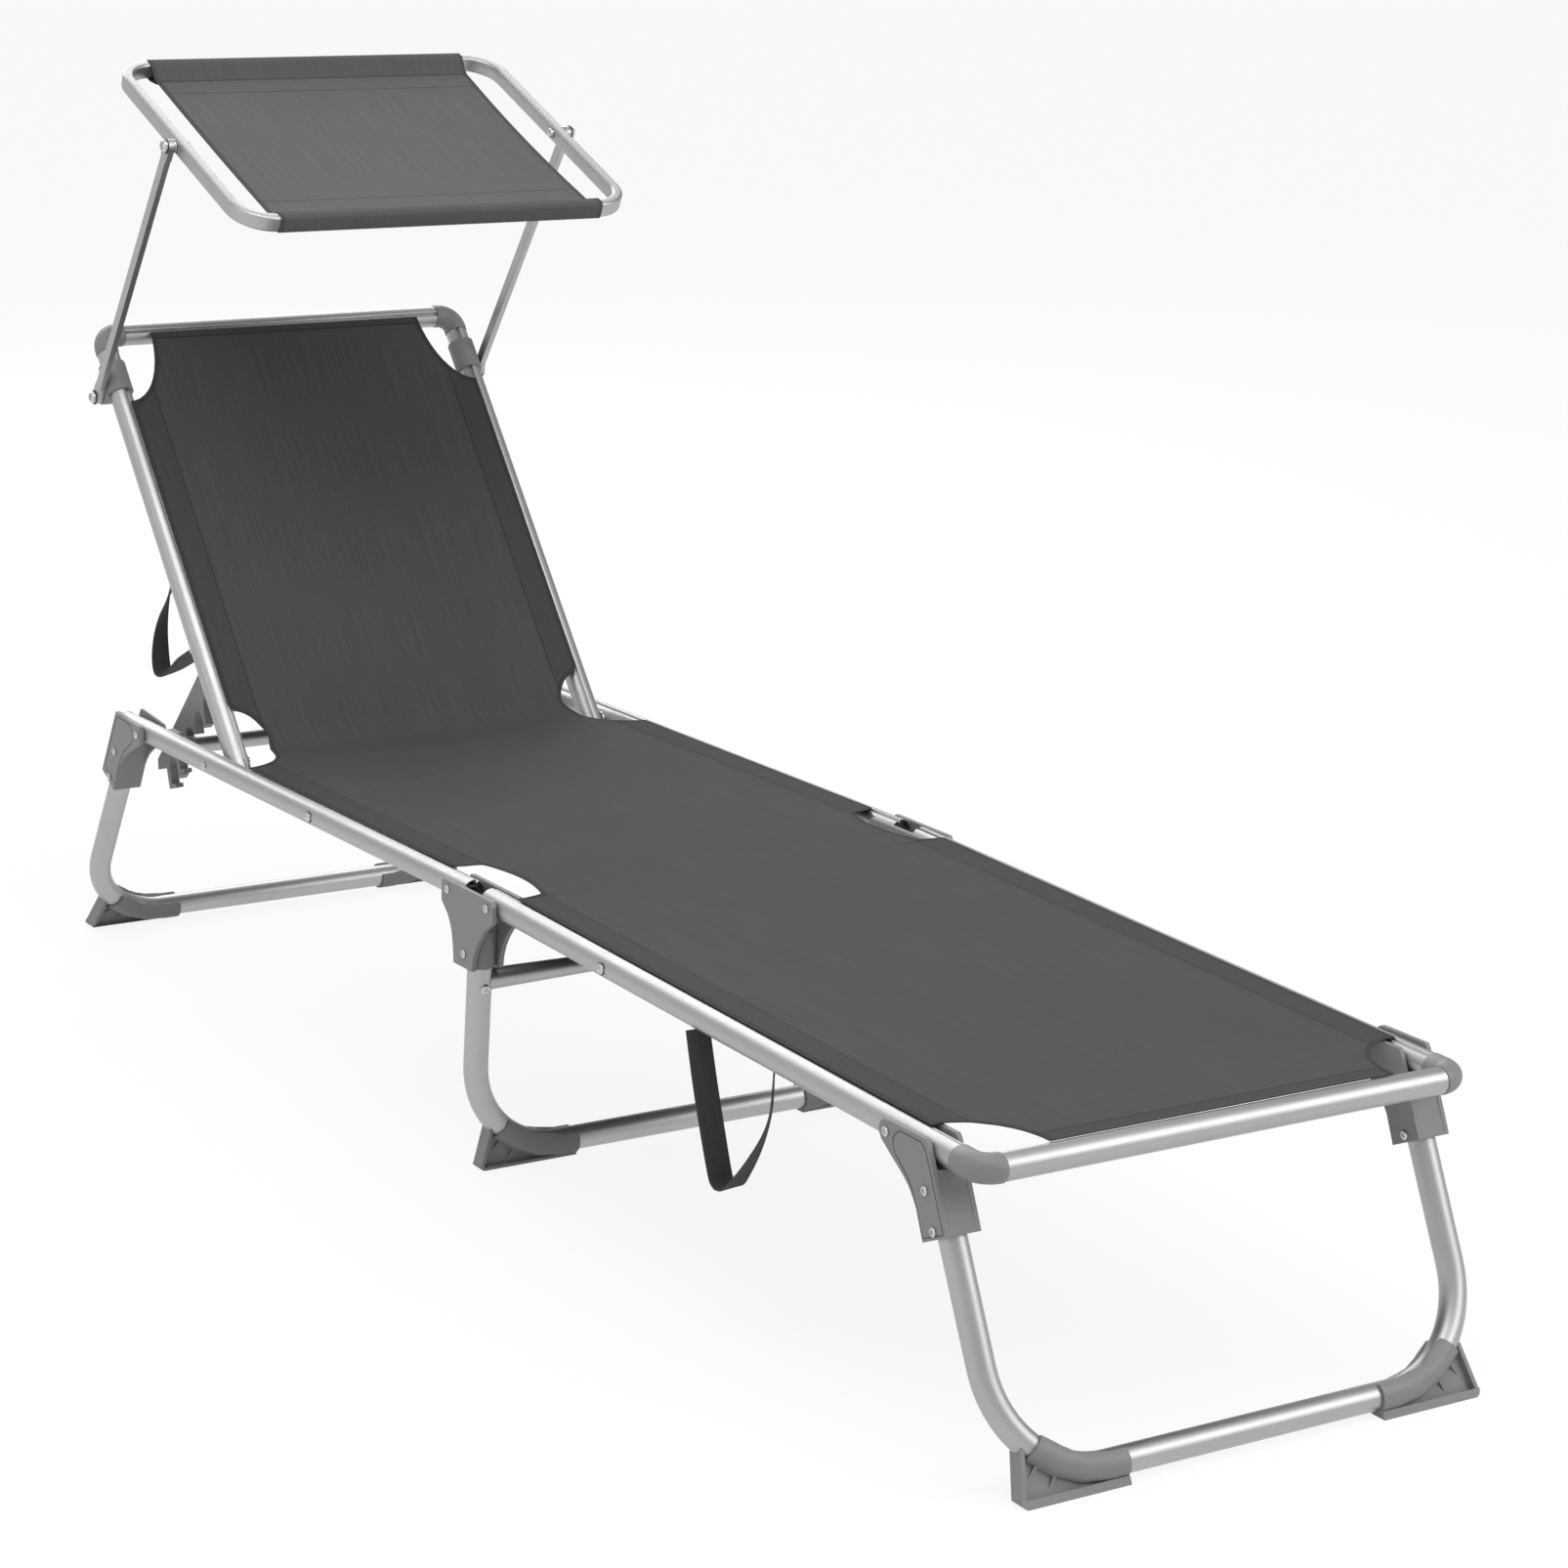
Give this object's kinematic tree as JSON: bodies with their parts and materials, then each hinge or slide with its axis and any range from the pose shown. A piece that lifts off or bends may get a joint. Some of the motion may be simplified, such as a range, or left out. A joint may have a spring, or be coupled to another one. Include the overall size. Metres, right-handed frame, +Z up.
{
  "type": "folding sun lounger with canopy",
  "caption": "Folding sun lounger: aluminium tube frame on bent tube legs, stretched fabric, reclining backrest held by toothed arms, and a tilting canopy.",
  "frame": {"origin": "on the ground under the middle of the footprint", "axes": "+X to the right as seen from the foot end, +Y towards the head end, +Z up"},
  "size_m": [0.55, 1.9362, 1.031],
  "materials": {
    "aluminium": "satin silver tube",
    "fasteners": "bright zinc",
    "plastic": "mid grey, fine grain",
    "fabric": "charcoal woven mesh",
    "webbing": "dark grey webbing"
  },
  "bodies": {
    "seat_frame": {"left_rear_rail": "aluminium", "right_rear_rail": "aluminium", "cross_bar": "aluminium", "left_cross_bar_holder": "plastic", "right_cross_bar_holder": "plastic", "seat_fabric": "fabric", "left_backrest_bolt": "fasteners", "right_backrest_bolt": "fasteners"},
    "rear_leg": {"rear_leg_tube": "aluminium", "left_rear_foot": "plastic", "right_rear_foot": "plastic", "left_rear_bracket": "plastic", "left_rear_leg_rivet": "fasteners", "right_rear_bracket": "plastic", "right_rear_leg_rivet": "fasteners"},
    "mid_support": {"left_mid_bracket": "plastic", "left_rear_hinge_rivet": "fasteners", "left_front_hinge_rivet": "fasteners", "right_mid_bracket": "plastic", "right_rear_hinge_rivet": "fasteners", "right_front_hinge_rivet": "fasteners", "mid_leg_tube": "aluminium", "left_mid_foot": "plastic", "right_mid_foot": "plastic", "mid_stretcher": "aluminium", "mid_fabric": "fabric"},
    "front_frame": {"left_front_rail": "aluminium", "left_front_elbow": "plastic", "right_front_rail": "aluminium", "right_front_elbow": "plastic", "front_bar": "aluminium", "front_fabric": "fabric", "front_strap": "webbing"},
    "front_leg": {"front_leg_tube": "aluminium", "left_front_foot": "plastic", "right_front_foot": "plastic", "left_front_bracket": "plastic", "left_front_leg_rivet": "fasteners", "right_front_bracket": "plastic", "right_front_leg_rivet": "fasteners"},
    "backrest": {"left_backrest_tube": "aluminium", "left_top_elbow": "plastic", "left_canopy_clamp": "plastic", "right_backrest_tube": "aluminium", "right_top_elbow": "plastic", "right_canopy_clamp": "plastic", "top_bar": "aluminium", "backrest_fabric": "fabric", "backrest_strap": "webbing"},
    "rack": {"left_rack_arm": "plastic", "right_rack_arm": "plastic"},
    "canopy_struts": {"left_canopy_strut": "aluminium", "left_strut_bolt": "fasteners", "right_canopy_strut": "aluminium", "right_strut_bolt": "fasteners"},
    "canopy": {"canopy_frame": "aluminium", "canopy_fabric": "fabric", "left_canopy_bolt": "fasteners", "right_canopy_bolt": "fasteners"}
  },
  "joints": [
    {"name": "rear_leg_fold", "type": "hinge", "parent": "seat_frame", "child": "rear_leg", "pos_m": [0, 0.74663, 0.28564], "axis": [1, 0, 0], "range_deg": [-116, 0]},
    {"name": "mid_fold", "type": "hinge", "parent": "seat_frame", "child": "mid_support", "pos_m": [0, -0.00633, 0.293], "axis": [1, 0, 0], "range_deg": [0, 62]},
    {"name": "front_fold", "type": "hinge", "parent": "mid_support", "child": "front_frame", "pos_m": [0, -0.08633, 0.293], "axis": [1, 0, 0], "range_deg": [0, 62]},
    {"name": "front_leg_fold", "type": "hinge", "parent": "front_frame", "child": "front_leg", "pos_m": [0, -0.78318, 0.27839], "axis": [1, 0, 0], "range_deg": [0, 111], "deforming": ["front_strap"]},
    {"name": "backrest_tilt", "type": "hinge", "parent": "seat_frame", "child": "backrest", "pos_m": [0, 0.57664, 0.2873], "axis": [1, 0, 0], "range_deg": [-48, 0], "deforming": ["backrest_strap"]},
    {"name": "rack_swing", "type": "hinge", "parent": "backrest", "child": "rack", "pos_m": [0, 0.66524, 0.38923], "axis": [1, 0, 0], "range_deg": [0, 87.4]},
    {"name": "strut_swing", "type": "hinge", "parent": "backrest", "child": "canopy_struts", "pos_m": [0, 0.89586, 0.64889], "axis": [1, 0, 0], "range_deg": [-70, 45]},
    {"name": "canopy_tilt", "type": "hinge", "parent": "canopy_struts", "child": "canopy", "pos_m": [0, 0.68363, 0.95198], "axis": [1, 0, 0], "range_deg": [-75, 75]}
  ],
  "couplings": [
    {"joint": "front_fold", "follows": "mid_fold", "ratio": 1},
    {"joint": "rack_swing", "follows": "backrest_tilt", "ratio": -1.82}
  ]
}
